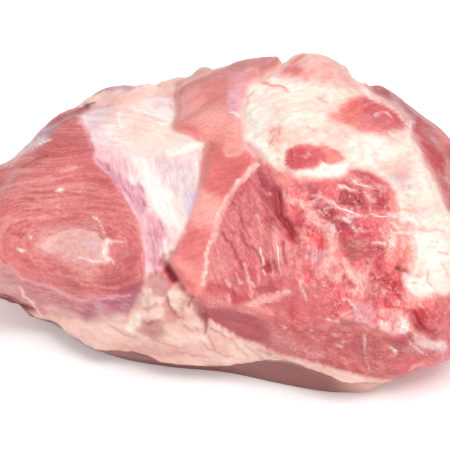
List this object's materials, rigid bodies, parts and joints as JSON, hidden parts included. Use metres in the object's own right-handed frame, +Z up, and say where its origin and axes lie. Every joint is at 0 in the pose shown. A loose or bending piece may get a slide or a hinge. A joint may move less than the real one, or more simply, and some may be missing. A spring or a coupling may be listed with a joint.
{
  "type": "shoulder ham",
  "caption": "Raw boneless pork shoulder in one piece, lying on its fat side: shank muscle, strap muscle, silverskin, fat cap and torn cut face in relief.",
  "frame": {"origin": "middle of the box round the meat, on the surface it lies on", "axes": "+X along the meat from the shank end to the cut end, +Y towards the back, +Z up"},
  "size_m": [0.3154, 0.2344, 0.1454],
  "materials": {
    "raw_meat": "moist raw lean with white fat and membrane, satin to glossy"
  },
  "bodies": {
    "root": {"shoulder_ham": "raw_meat"}
  },
  "joints": []
}
